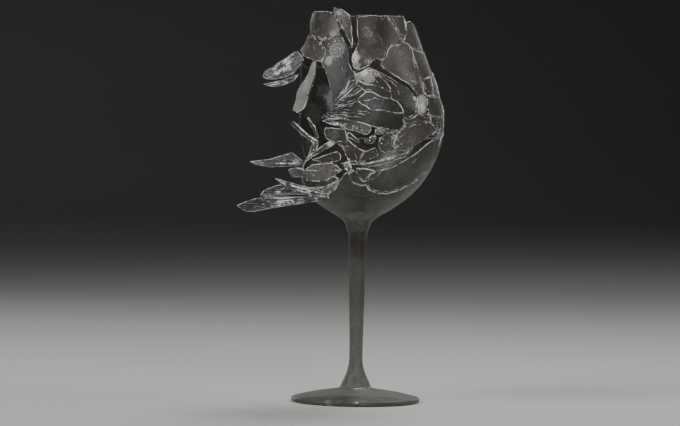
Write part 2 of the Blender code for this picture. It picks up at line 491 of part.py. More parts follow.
def foot_stem_and_cup():
    """The blown piece that stands: foot, stem and what is left whole of the bowl."""
    shape = cup_wall()
    inner = on_wall(90, CUP_JOIN, WALL) / MM
    turned(shape, FOOT + STEM + ((CUP_JOIN, curve_at(BOWL, CUP_JOIN)[0]),))
    turned(shape, ((inner.z, inner.x),) + CUP_BOTTOM)
    bmesh.ops.remove_doubles(shape, verts=shape.verts[:], dist=WELD * MM)
    finish("foot_stem_and_cup", shape, "blown")


def build():
    clear_scene()
    foot_stem_and_cup()
    for name, junction_names in SHARDS.items():
        wall_shard(name, junction_names)
    for name, drawing in PEELED.items():
        peeled_shard(name, **drawing)


build()
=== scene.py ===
"""Dresses a broken wine glass: true curved walls, bright broken edges, cracks, crumbs and dust.

Metres, +Z up, the CAD model's frame. Every node of the frame is rebuilt as a finer piece: its
facets are rounded off onto the bowl's true wall, and its broken edges are bitten, chipped and
whitened with painted glints, which also carry a painted glow. Thin threads on its skin make the
hairline cracks and the ridges, and a few thick bright ones are painted highlights. The glass is
clear under a film of grey dust, with a few painted highlights among its marks, and the inside of
the bowl is painted darker as shade. Angles are in degrees round the bowl, 0 at the front and
rising to the right; other sizes in the tables are in millimetres.
"""
import math
import random

import bpy
import bmesh
from mathutils import Euler, Matrix, Vector, noise
from mathutils.bvhtree import BVHTree


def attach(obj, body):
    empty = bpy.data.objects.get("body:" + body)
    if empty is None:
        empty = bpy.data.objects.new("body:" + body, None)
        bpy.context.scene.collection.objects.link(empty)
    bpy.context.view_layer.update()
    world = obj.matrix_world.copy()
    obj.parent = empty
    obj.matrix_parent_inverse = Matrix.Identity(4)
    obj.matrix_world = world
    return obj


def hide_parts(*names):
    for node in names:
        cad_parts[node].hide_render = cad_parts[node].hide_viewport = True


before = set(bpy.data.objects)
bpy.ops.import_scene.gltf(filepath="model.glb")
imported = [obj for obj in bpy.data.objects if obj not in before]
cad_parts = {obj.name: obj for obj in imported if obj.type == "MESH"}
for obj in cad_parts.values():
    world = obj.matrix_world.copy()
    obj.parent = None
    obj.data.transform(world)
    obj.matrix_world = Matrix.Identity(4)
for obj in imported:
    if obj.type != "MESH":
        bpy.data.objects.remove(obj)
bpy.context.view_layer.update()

MM = 0.001
BODY = "root"

# The bowl's outer surface, as the frame has it: height above the table and radius, millimetres.
BOWL = ((106, 6.4), (112, 8.8), (119, 19.6), (126, 29.4), (134, 37.6), (144, 44.4), (156, 49.6),
        (170, 52.3), (184, 51.1), (198, 46.6), (212, 41.2), (226, 36.0), (240, 31.0), (254, 26.0))
CUP_JOIN = 119.0          # height where the stem's flare becomes the bowl's wall
WALL = 1.4                # the wall's thickness

# The turned foot and stem: height and radius.
FOOT = ((0, 0), (0, 20), (0, 38.2), (0.45, 39.5), (1.5, 40.0), (2.6, 39.55), (3.1, 38.6),
        (4.9, 31.0), (6.15, 24.5), (7.2, 18.0), (8.3, 11.2))
STEM = ((9.3, 9.7), (12.0, 8.6), (15.0, 7.1), (18.0, 5.8), (20.0, 5.2), (22.5, 4.6), (26.0, 4.2),
        (34.0, 4.15), (46.0, 4.35), (63.0, 4.78), (82.0, 5.1), (98.0, 5.45), (104.0, 6.0),
        (108.5, 7.2), (112.0, 8.9), (115.0, 12.9))
CUP_BOTTOM = ((118.8, 15.2), (117.4, 10.5), (116.5, 5.5), (116.2, 0))

# Fineness of the finished walls.
CUT_ANGLE = 2.5           # degrees between the cuts round the bowl
CUT_HEIGHT = 2.25         # millimetres between the cuts up it
SNAP = 0.02               # a corner this near to a cut is used for it
HALF_ROUND = 120          # a wall that reaches this many degrees from its middle goes round
FLAT_SIZE = 3.0           # longer edges on a peeled shard are cut in two

# Shards by their look. The peeled ones have left the wall, and are flat.
PEELED = ("upper_fan", "upper_slat", "middle_blade", "low_blade", "low_leaf", "low_needle")
LAYERED = PEELED + ("ridged_slat", "left_band", "long_slat")
CRAZED = ("dome", "fan")  # the starts of their names
# The pale shards take a lighter copy of the plain glass: painted light, for the light their tilt
# catches.
PALE_BY_PAINTED_LIGHT = ("rim_plate_left", "rim_spike", "rim_chip", "rim_plate_right", "shoulder_plate_front",
        "left_shoulder", "shoulder_strip_right", "side_plate_upper", "hole_star_chip",
        "left_lens", "left_dagger", "flank_plate", "middle_plate", "middle_chip")
MILKY = ("left_leaf_top", "left_leaf_middle")
GREENISH = ("cup_crescent", "cup_lobe", "cup_chip", "cup_chip_left", "left_leaf_dark")
SPLINTERED = ("hole_splinter", "side_chip")

# The layered shards' finishes: the start of their names, their layers' tilt, and their tone.
LEAVES = (("upper", 30, 1), ("middle", -3, 1.8), ("low", -3, 0.6), ("ridged", -12, 0.9),
          ("left_band", 22, 1.8), ("long", 12, 0.9))

# Shards whose cracks are still closed, and how far the ajar ones have shrunk from theirs.
TIGHT = ("wing", "ridged_slat", "left_leaf_top", "left_leaf_middle")
AJAR = {"rim_spike": 0.34, "rim_plate_left": 0.3, "fan_plate": 0.14, "left_shoulder": 0.24}

# Where the blow landed: the streaks in the crazed glass run out of here. Angle and height.
BLOW = (-21.0, 182.0)

# Marks on the glass: angle, height, reach in millimetres, how strong, and colour.
WHITE, MILK, HAZE = (0.93, 0.925, 0.925), (0.36, 0.345, 0.335), (0.17, 0.165, 0.155)
SMOKE, BLUISH = (0.022, 0.018, 0.016), (0.60, 0.66, 0.74)
MARKS = (
    # A painted highlight: the white mark at -6 degrees, 213.3 high, with the milky mark and haze
    # beside it on the next line.
    (-21.5, 217.5, 5.5, 0.4, HAZE), (-27.5, 211, 4, 0.8, MILK), (-6.0, 213.3, 5, 1.0, WHITE),
    (-3.5, 208, 3, 0.8, MILK), (-1.5, 214, 7, 0.4, HAZE), (6, 211, 4, 0.3, MILK),
    (23.5, 229.5, 8, 0.7, SMOKE), (15.5, 222, 6, 0.55, SMOKE), (30, 226, 4, 0.5, SMOKE),
    (5, 229, 5, 0.35, HAZE), (-25.5, 240.5, 3.2, 0.8, MILK), (-29.5, 227.5, 3, 0.7, MILK),
    (-61.5, 239, 4.5, 0.8, SMOKE), (-52, 233, 5, 0.3, SMOKE), (42, 201.5, 7, 0.5, HAZE),
    (55, 197, 3, 0.8, MILK), (48.5, 188, 4, 0.8, MILK), (48, 183.5, 4, 0.4, WHITE),
    # A painted highlight: the bluish-white mark at -20 degrees, 161 high.
    (-20, 161, 2.8, 0.9, BLUISH), (14.5, 170, 4, 0.7, MILK), (25, 165, 3, 0.6, MILK),
    (72, 167.5, 4.5, 0.8, MILK), (-17, 166.5, 4, 0.5, HAZE), (36, 166, 17, 0.4, HAZE))
CRAZED_MARKS = (
    (-21.5, 217.5, 5.5, 0.4, HAZE), (-27.5, 211, 4.2, 0.85, MILK), (0.5, 202.5, 5, 0.8, MILK),
    (6.5, 201.5, 4.5, 0.9, MILK), (3, 204.5, 3, 0.7, WHITE), (10.5, 206, 3, 0.7, MILK),
    (13.5, 203.5, 2.5, 0.7, MILK), (41.5, 183.5, 3.5, 0.4, HAZE), (42, 189, 1.6, 0.8, WHITE),
    (38, 187, 6, 0.4, HAZE), (-17, 222, 4, 0.4, SMOKE))

# The crumbled round bruise on the left shoulder: angle, height and radius.
DISC = (-21.5, 217.5, 4.8)

# Marks on the inside of the far wall, which shows through the hole: place in millimetres,
# reach, how strong, and colour.
INNER_MARKS = (
    ((-20.5, 44.5, 190), 6, 0.9, BLUISH), ((-17, 46, 185), 6, 0.8, BLUISH),
    ((-24, 42, 194), 7, 1.0, HAZE), ((-28, 40, 178), 9, 0.8, HAZE), ((-14, 47, 176), 4, 0.8, MILK),
    ((-30, 38, 202), 6, 0.8, HAZE), ((-31, 38, 160), 8, 0.7, HAZE), ((-36, 33, 186), 5, 0.7, HAZE),
    ((-22, 43, 168), 5, 0.6, HAZE))

# Marks on the stem and the foot: place in millimetres, reach, how strong, and colour.
STEM_MARKS = (
    ((0, -5, 100), 9, 0.95, SMOKE), ((1, -5, 93), 6, 0.8, SMOKE), ((-16.5, -35, 3), 3, 0.5, HAZE),
    ((-10, -37, 3), 2.4, 0.4, HAZE), ((1, -39, 3), 1.5, 0.7, MILK),
    ((-31, -22, 3), 2.5, 0.7, SMOKE), ((-36, -14, 3), 1.5, 0.6, SMOKE),
    ((30, -10, 5), 5, 0.4, SMOKE), ((-12, -25, 6), 5, 0.3, SMOKE), ((-38, 0, 3), 5, 0.5, HAZE),
    ((0, -12, 117), 9, 0.4, HAZE), ((0, -10, 3), 60, 0.1, HAZE))


# ---------------------------------------------------------------- shader maths

class Value:
    """A socket, so that shader maths can be written as an expression."""

    def __init__(self, recipe, socket):
        self.recipe, self.socket = recipe, socket

    def maths(self, operation, *others):
        return self.recipe.node("Math", {"operation": operation}, dict(enumerate((self, *others))))

    def __add__(self, other):
        return self.maths("ADD", other)

    def __sub__(self, other):
        return self.maths("SUBTRACT", other)

    def __mul__(self, other):
        return self.maths("MULTIPLY", other)

    def __truediv__(self, other):
        return self.maths("DIVIDE", other)

    __radd__ = __add__

    def clamped(self):
        return self.recipe.node("Clamp", {}, {"Value": self})

    def step(self, low, high):
        """0 below low, 1 above high, and smooth between."""
        return self.recipe.node("MapRange", {"interpolation_type": "SMOOTHSTEP"},
                                {"Value": self, "From Min": low, "From Max": high})


class Recipe:
    """One material and its nodes."""

    def __init__(self, name):
        self.material = bpy.data.materials.new(name)
        self.material.use_nodes = True
        self.tree = self.material.node_tree
        self.shader = self.tree.nodes["Principled BSDF"]
        self.place = self.node("TexCoord", {}, {}, "Object")

    def node(self, kind, settings, inputs, output=0):
        made = self.tree.nodes.new("ShaderNode" + kind)
        for key, value in settings.items():
            setattr(made, key, value)
        for key, value in inputs.items():
            self.feed(made.inputs[key], value)
        return Value(self, made.outputs[output])

    def feed(self, socket, value):
        if isinstance(value, Value):
            self.tree.links.new(value.socket, socket)
        else:
            socket.default_value = value

    def noise(self, size, detail=2.0, stretch=(1, 1, 1), roughness=0.5, twist=0.0):
        """Noise from 0 to 1 whose blots are about this many millimetres across."""
        place = self.node("Mapping", {}, {"Vector": self.place, "Scale": stretch})
        return self.node("TexNoise", {}, {
            "Vector": place, "Scale": 1 / (size * MM), "Detail": detail, "Roughness": roughness,
            "Distortion": twist})

    def layers(self, tilt, size):
        """Noise from 0 to 1 in long thin layers, tilted from level by an angle in degrees."""
        turn = (0, math.radians(tilt), 0)
        turned = self.node("Mapping", {}, {"Vector": self.place, "Rotation": turn})
        place = self.node("Mapping", {}, {"Vector": turned, "Scale": (0.035, 0.2, 1)})
        return self.node("TexNoise", {}, {
            "Vector": place, "Scale": 1 / (size * MM), "Detail": 2.0, "Roughness": 0.5})

    def distance(self, point):
        """How far away a point is, in millimetres."""
        inputs = {0: self.place, 1: point}
        return self.node("VectorMath", {"operation": "DISTANCE"}, inputs, "Value") / MM

    def rays(self, point, count):
        """Noise from 0 to 1 in streaks that run straight out of a point."""
        away = self.node("VectorMath", {"operation": "SUBTRACT"}, {0: self.place, 1: point})
        aim = self.node("VectorMath", {"operation": "NORMALIZE"}, {0: away})
        return self.node("TexNoise", {}, {
            "Vector": aim, "Scale": count, "Detail": 3.0, "Roughness": 0.6})

    def scratches(self, size, width):
        """Fine curved lines, each part of a contour of slow noise."""
        contour = self.noise(size, 1, twist=0.6) - 0.5
        line = self.node("Math", {"operation": "ABSOLUTE"}, {0: contour}).step(width, width * 0.3)
        return line * self.noise(size * 0.7).step(0.5, 0.6)

    def blend(self, amount, first, second):
        """A colour between two colours."""
        made = self.tree.nodes.new("ShaderNodeMix")
        made.data_type = "RGBA"
        for socket, value in zip((made.inputs[0], made.inputs[6], made.inputs[7]),
                                 (amount, first, second)):
            self.feed(socket, value if isinstance(value, (Value, float, int)) else (*value, 1))
        return Value(self, made.outputs[2])

    def bump(self, height, distance, below=None):
        inputs = {"Height": height, "Distance": distance * MM, "Strength": 1.0}
        if below:
            inputs["Normal"] = below
        return self.node("Bump", {}, inputs)

    def done(self, colour, roughness, normal, cover=1.0, shine=0.5, bloom=0.0):
        """The finished material, with its cover over what is behind, its shine and its bloom."""
        for name, value in (
                ("Base Color", colour), ("Roughness", roughness), ("Normal", normal),
                ("Alpha", cover), ("Specular IOR Level", shine), ("Sheen Weight", bloom),
                ("Sheen Roughness", 0.3)):
            self.feed(self.shader.inputs[name], value)
        return self.material


def dusty_glass(name, dark, light, cover=0.46, matt=0.18, dust=0.75, marks=(), stains=(),
                streaks=0.0, grain_along=None, disc=None, shine=0.4, bloom=0.06):
    """Clear glass under a film of grey dust that covers this share of it, worn and marked.

    The dark and light tones alternate slowly; some finishes are given lighter or darker tones as
    painted light or shade. Marks lie on the wall by angle and height, and stains anywhere; some of
    the marks are painted highlights. Streaks run out of the blow, and a grain is a tilt and a size
    of layers.
    """
    made = Recipe(name)
    ragged = made.noise(4, 4, roughness=0.65) - 0.5
    smoke = made.noise(22, 2, roughness=0.5).step(0.3, 0.7)
    smudge = made.noise(5, 4, roughness=0.6, stretch=(1, 1, 0.5)).step(0.5, 0.75)
    fine = made.noise(0.8, 2)
    pits = made.noise(1.6, 1).step(0.68, 0.74) * made.noise(9).step(0.42, 0.6)
    scratches = made.scratches(7, 0.008)
    colour = made.blend(smoke, dark, light)
    colour = made.blend(smudge * 0.3, colour, [channel * 1.7 for channel in light])
    relief = fine * 0.02 + scratches * 0.05
    if streaks:
        nearby = made.distance(on_wall(*BLOW)).step(46, 6)
        rays = made.rays(on_wall(*BLOW), 26)
        colour = made.blend(rays.step(0.55, 0.75) * nearby * streaks, colour, MILK)
        colour = made.blend(rays.step(0.46, 0.32) * nearby * streaks * 0.7, colour, SMOKE)
        relief = relief + rays * nearby * 0.5
    if grain_along:
        layers = made.layers(*grain_along)
        colour = made.blend(layers.step(0.50, 0.66) * 0.6, colour, MILK)
        colour = made.blend(layers.step(0.46, 0.34) * 0.8, colour, SMOKE)
        relief = relief + layers * 0.9
    if disc:
        away = made.distance(on_wall(*disc[:2])) + ragged * 0.8
        crumbled = made.noise(0.8, 3, roughness=0.7)
        within = away.step(disc[2] + 0.3, disc[2] - 0.3)
        ring = within * away.step(disc[2] - 1.1, disc[2] - 0.7)
        colour = made.blend(within * crumbled.step(0.52, 0.6) * 0.8, colour, MILK)
        colour = made.blend(within * crumbled.step(0.46, 0.4) * 0.7, colour, SMOKE)
        colour = made.blend(ring * 0.6, colour, MILK)
    spots = [(on_wall(angle, height), *rest) for angle, height, *rest in marks]
    spots += [(Vector(place) * MM, *rest) for place, *rest in stains]
    veil = cover + smudge * 0.15 + smoke * 0.1
    for place, reach, strength, tone in spots:
        mask = (made.distance(place) + ragged * reach * 1.5).step(reach, reach * 0.45)
        colour = made.blend(mask * strength, colour, tone)
        veil = veil + mask * strength * 0.35
    specks = ((pits * 0.55 + scratches * 0.5 + fine.step(0.5, 0.75) * 0.22) * dust).clamped()
    colour = made.blend(specks, colour, MILK)
    veil = (veil + specks * 0.5).clamped()
    rough = matt + smudge * 0.14 + fine * 0.1
    slow = made.bump(made.noise(11, 1), 0.5)
    return made.done(colour, rough, made.bump(relief, 1.0, slow), veil, shine, bloom)


def broken_edge(name, dark, bright, slow, size=9.0, painted_glow=0.0, cover=1.0):
    """Rough faces where the glass broke: long bright stretches of painted glint that fade into dark
    glass, and a painted glow on them where asked for.
    """
    made = Recipe(name)
    sparkle = made.noise(1.1, 3, roughness=0.7)
    patches = made.noise(size, 2) * 0.7 + made.noise(size * 0.3, 1) * 0.3
    # The bright stretches are painted glints: brightness that stands in for light caught by the
    # broken glass.
    painted_glint = (patches + (sparkle - 0.5) * 0.35).step(*slow)
    powder = made.noise(0.5, 2).step(0.4, 0.7)
    colour = made.blend(painted_glint, dark, bright)
    colour = made.blend(powder * 0.2, colour, MILK)
    # Painted glow: emission on the glints, as though the broken edges gathered light.
    if painted_glow:
        made.feed(made.shader.inputs["Emission Color"], made.blend(painted_glint, (0, 0, 0), bright))
        made.feed(made.shader.inputs["Emission Strength"], painted_glow)
    return made.done(colour, 0.16 + powder * 0.2, made.bump(sparkle, 0.15), cover, 1.0)


# ---------------------------------------------------------------- walls

def wall_curve(height):
    """Radius and slope of the bowl's outer wall at a height, both in millimetres."""
    last = len(BOWL) - 1
    k = max(1, next((i for i in range(last) if BOWL[i][0] > height), last))
    (x0, y0), (x1, y1) = BOWL[k - 1], BOWL[k]

    def tangent(i):
        before, after = BOWL[max(i - 1, 0)], BOWL[min(i + 1, last)]
        return (after[1] - before[1]) / (after[0] - before[0])

    width = x1 - x0
    t = (height - x0) / width
    m0, m1 = tangent(k - 1) * width, tangent(k) * width
    value = ((2 * t**3 - 3 * t**2 + 1) * y0 + (t**3 - 2 * t**2 + t) * m0
             + (3 * t**2 - 2 * t**3) * y1 + (t**3 - t**2) * m1)
    rise = ((6 * t**2 - 6 * t) * y0 + (3 * t**2 - 4 * t + 1) * m0
            + (6 * t - 6 * t**2) * y1 + (3 * t**2 - 2 * t) * m1)
    return value, rise / width


def wall_normal(place):
    """The direction straight out of the bowl's wall at a point."""
    slope = wall_curve(place.z / MM)[1]
    out = Vector((place.x, place.y, 0)).normalized()
    return (out - Vector((0, 0, slope))).normalized()


def on_wall(angle, height, out=0.0):
    """The point at an angle and a height that stands this far out from the wall."""
    radius = wall_curve(height)[0] * MM
    turn = math.radians(angle)
    place = Vector((radius * math.sin(turn), -radius * math.cos(turn), height * MM))
    return place + wall_normal(place) * out * MM


def copy_of(node):
    """A CAD node's mesh as one merged shape."""
    shape = bmesh.new()
    shape.from_mesh(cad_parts[node].data)
    bmesh.ops.remove_doubles(shape, verts=shape.verts[:], dist=0.002 * MM)
    return shape


def cut(shape, point, across):
    """Cut every face along a plane."""
    bmesh.ops.bisect_plane(shape, geom=shape.verts[:] + shape.edges[:] + shape.faces[:],
                           dist=SNAP * MM, plane_co=point, plane_no=across)


def round_off(shape):
    """Cut a shard's facets finer and lay every corner on the bowl's true wall."""
    gap = shape.verts.layers.float.new("gap")
    for vert in shape.verts:
        vert[gap] = math.hypot(vert.co.x, vert.co.y) - wall_curve(vert.co.z / MM)[0] * MM
    low = min(vert.co.z for vert in shape.verts) / MM
    high = max(vert.co.z for vert in shape.verts) / MM
    for line in range(math.ceil(low / CUT_HEIGHT), math.floor(high / CUT_HEIGHT) + 1):
        cut(shape, (0, 0, line * CUT_HEIGHT * MM), (0, 0, 1))
    middle = sum((vert.co for vert in shape.verts), Vector())
    facing = math.degrees(math.atan2(middle.x, -middle.y))
    turns = [(math.degrees(math.atan2(vert.co.x, -vert.co.y)) - facing + 180) % 360 - 180
             for vert in shape.verts]
    for line in range(math.ceil((facing + min(turns)) / CUT_ANGLE),
                      math.floor((facing + max(turns)) / CUT_ANGLE) + 1):
        # A plane through the axis cuts both sides, so a wall that goes round needs half of them.
        if min(turns) < -HALF_ROUND and line * CUT_ANGLE >= facing + min(turns) + 180:
            continue
        turn = math.radians(line * CUT_ANGLE)
        cut(shape, (0, 0, 0), (math.cos(turn), math.sin(turn), 0))
    for vert in shape.verts:
        flat = math.hypot(vert.co.x, vert.co.y)
        scale = (wall_curve(vert.co.z / MM)[0] * MM + vert[gap]) / flat
        vert.co.x *= scale
        vert.co.y *= scale


def finer(shape, size):
    """Cut every edge longer than a size in two, up to four times over."""
    for _ in range(4):
        long_edges = [edge for edge in shape.edges if edge.calc_length() > size * MM]
        if not long_edges:
            break
        bmesh.ops.subdivide_edges(shape, edges=long_edges, cuts=1)
        bmesh.ops.triangulate(shape, faces=shape.faces[:])


# The four materials that every piece carries, in this order.
SKIN, INSIDE, BREAK, LIP = 0, 1, 2, 3

# A face is skin where it looks along the wall's normal by this cosine. A peeled shard is told
# by its front, which counts for more, because it may be tilted.
FACING = 0.55
TO_FRONT = Vector((0, -1.6, 0))

# How long the bites, the fine raggedness and the deeper chips of a broken rim are, how deep it
# is bitten, and how strong the noise must be for a chip.
BITE_SIZE, RAGGED_SIZE, CHIP_SIZE = 1.7, 1.1, 3.5
BITE_DEPTH, CHIP_FROM = 0.5, 0.28

# The bright lips: their width and raggedness along closed and open cracks, and how far a shard's
# edge grows over a closed crack, or shrinks from an open one.
TIGHT_LIP, TIGHT_RAGGED, CLOSING = 0.06, 0.1, 0.15
OPEN_LIP, OPEN_RAGGED, OPENING = 0.24, 0.3, 0.02
CUP_LIP = 0.35


def sort_faces(shape, facing):
    """Give each face the outer skin's, the inner skin's or the break's material."""
    for face in shape.faces:
        out = face.normal.dot(facing(face.calc_center_median()))
        face.material_index = SKIN if out > FACING else INSIDE if out < -FACING else BREAK


def rim_edges(edges):
    """Those of the edges where the outer skin meets the break."""
    return [edge for edge in edges
            if {face.material_index for face in edge.link_faces} == {SKIN, BREAK}]


def bite(rim, depth, seed):
    """Bite the outer rim back here and there, by up to about this depth."""
    pulls = {}
    for vert in dict.fromkeys(vert for edge in rim for vert in edge.verts):
        side = sum((face.normal * face.calc_area() for face in vert.link_faces
                    if face.material_index == BREAK), Vector())
        share = noise.noise(vert.co * (1 / (BITE_SIZE * MM)) + Vector((0, 0, seed)))
        pulls[vert] = side.normalized() * max(0, share) * 1.6 * depth * MM
    for vert, pull in pulls.items():
        vert.co -= pull


def chip_edges(shape, width, ragged, grow, seed, depth=0.0):
    """Turn the rim of the outer skin into a bright, ragged lip, and return places along it.

    Each place comes with the way out of the glass there.
    """
    rim = rim_edges(shape.edges)
    for length in (2.0, 1.0):
        rim = [edge for edge in rim if edge.is_valid and edge.calc_length() > length * MM]
        parts = bmesh.ops.subdivide_edges(shape, edges=rim, cuts=1)["geom_inner"]
        rim = [edge for vert in parts if isinstance(vert, bmesh.types.BMVert)
               for edge in rim_edges(vert.link_edges)]
        rim = list(dict.fromkeys(rim))
    shape.normal_update()
    if depth:
        bite(rim, depth, seed)
    skin = [face for face in shape.faces if face.material_index != BREAK]
    ring = bmesh.ops.inset_region(shape, faces=skin, thickness=width * MM,
                                  use_even_offset=False)["faces"]
    shape.normal_update()
    up, out = {}, {}
    lip_faces = set(ring)
    for face in shape.faces:
        into = up if face in lip_faces else out if face.material_index == BREAK else None
        if into is not None:
            for vert in face.verts:
                into[vert] = into.get(vert, Vector()) + face.normal * face.calc_area()
    places = []
    for vert, above in up.items():
        if vert not in out or out[vert].length == 0:
            continue
        side, above = out[vert].normalized(), above.normalized()
        wander = noise.noise(vert.co * (1 / (RAGGED_SIZE * MM)) + Vector((seed, 0, 0)))
        chip = noise.noise(vert.co * (1 / (CHIP_SIZE * MM)) + Vector((0, seed, 0)))
        chip = max(0, chip - CHIP_FROM)
        vert.co += side * (grow - ragged * (max(0, wander) + 5 * chip)) * MM
        vert.co -= above * (0.1 + ragged * (0.6 * abs(wander) + 3 * chip)) * MM
        places.append((vert.co.copy(), (above + side * 0.5).normalized()))
    for face in ring:
        if face.material_index == SKIN:
            face.material_index = LIP
    return places


# What the crumbs and threads are laid on: each finished piece's skin, and places along its lips.
skins, lips = {}, {}


def made_piece(name, shape, nodes, materials):
    """Finish a piece, and have it stand for these CAD nodes, if any."""
    bmesh.ops.remove_doubles(shape, verts=shape.verts[:], dist=0.01 * MM)
    bmesh.ops.dissolve_degenerate(shape, edges=shape.edges[:], dist=0.005 * MM)
    for face in shape.faces:
        face.smooth = face.material_index in (SKIN, INSIDE)
    for node in nodes:
        skins[node] = BVHTree.FromBMesh(shape)
    mesh = bpy.data.meshes.new(name)
    shape.to_mesh(mesh)
    shape.free()
    for material in materials:
        mesh.materials.append(material)
    piece = bpy.data.objects.new(name, mesh)
    bpy.context.scene.collection.objects.link(piece)
    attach(piece, BODY)
    if nodes:
        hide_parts(*nodes)


def is_tight(node):
    """Whether a shard's cracks are still closed."""
    return node.startswith(CRAZED) or node in TIGHT


def shard(node, materials):
    """One shard of the wall, rounded off and chipped."""
    shape = copy_of(node)
    if node in PEELED:
        finer(shape, FLAT_SIZE)
        shape.normal_update()
        sort_faces(shape, lambda place: TO_FRONT)
    else:
        round_off(shape)
        shape.normal_update()
        sort_faces(shape, wall_normal)
    if is_tight(node):
        lips[node] = chip_edges(shape, TIGHT_LIP, TIGHT_RAGGED, CLOSING, len(node))
    else:
        ajar, depth = AJAR.get(node, OPENING), 0 if node.startswith("back") else BITE_DEPTH
        lips[node] = chip_edges(shape, OPEN_LIP + ajar, OPEN_RAGGED, -ajar, len(node), depth)
    made_piece("finished_" + node, shape, [node], materials)


def spun(shape, profile, sides):
    """Turn a profile of heights and radii round the glass's axis."""
    rings = []
    for height, radius in profile:
        turns = [math.tau * k / sides for k in range(sides if radius else 1)]
        rings.append([shape.verts.new((radius * MM * math.cos(turn), radius * MM * math.sin(turn),
                                       height * MM)) for turn in turns])
    for low, high in zip(rings, rings[1:]):
        for k in range(sides):
            corners = (low[k % len(low)], high[k % len(high)],
                       high[(k + 1) % len(high)], low[(k + 1) % len(low)])
            shape.faces.new(tuple(dict.fromkeys(corners)))


def smooth_profile(stations, pieces):
    """Points on a smooth curve through the stations."""
    points = [Vector(station) for station in stations]
    line = []
    for k in range(len(points) - 1):
        a, b = points[k], points[k + 1]
        before, after = points[max(k - 1, 0)], points[min(k + 2, len(points) - 1)]
        reach = (b - a).length / 2
        tangent_a = (b - before).normalized() * reach * 2
        tangent_b = (after - a).normalized() * reach * 2
        for step in range(pieces):
            t = step / pieces
            line.append((2 * t**3 - 3 * t**2 + 1) * a + (t**3 - 2 * t**2 + t) * tangent_a
                        + (3 * t**2 - 2 * t**3) * b + (t**3 - t**2) * tangent_b)
    return [tuple(point) for point in line] + [tuple(points[-1])]


def foot_stem_and_cup(materials):
    """The blown piece: the cup's wall from the frame, on a finely turned stem and foot."""
    shape = copy_of("foot_stem_and_cup")
    below = [face for face in shape.faces if face.calc_center_median().z < (CUP_JOIN + 0.01) * MM]
    bmesh.ops.delete(shape, geom=below, context="FACES")
    round_off(shape)
    shape.normal_update()
    sort_faces(shape, wall_normal)
    lips["foot_stem_and_cup"] = chip_edges(shape, CUP_LIP, OPEN_RAGGED, 0.0, 3)
    radius, slope = wall_curve(CUP_JOIN)
    length = math.hypot(1, slope)
    inner = (CUP_JOIN + WALL * slope / length, radius - WALL / length)
    # The wall flares out, so on the inside the turned bottom starts higher than on the outside.
    turned = [face for face in shape.faces if face.material_index == INSIDE
              and face.calc_center_median().z < inner[0] * MM]
    bmesh.ops.delete(shape, geom=turned, context="FACES")
    sides = round(360 / CUT_ANGLE)
    outline = list(FOOT[:2]) + smooth_profile(FOOT[2:] + STEM + ((CUP_JOIN, radius),), 4)
    spun(shape, outline, sides)
    spun(shape, smooth_profile((inner,) + CUP_BOTTOM, 3), sides)
    bmesh.ops.remove_doubles(shape, verts=shape.verts[:], dist=0.05 * MM)
    bmesh.ops.recalc_face_normals(shape, faces=shape.faces[:])
    made_piece("finished_foot_stem_and_cup", shape, ["foot_stem_and_cup"], materials)


# ---------------------------------------------------------------- threads and crumbs

# Threads are laid by a ray towards the wall from this far off it, or straight back from this
# far in front, where a place is given by X and Z: on the peeled shards and on the foot.
STAND_OFF, IN_FRONT = 7, 90
FOOT_TOP = 20
THREAD_STEP = 1.3         # about how long a thread's straight pieces are
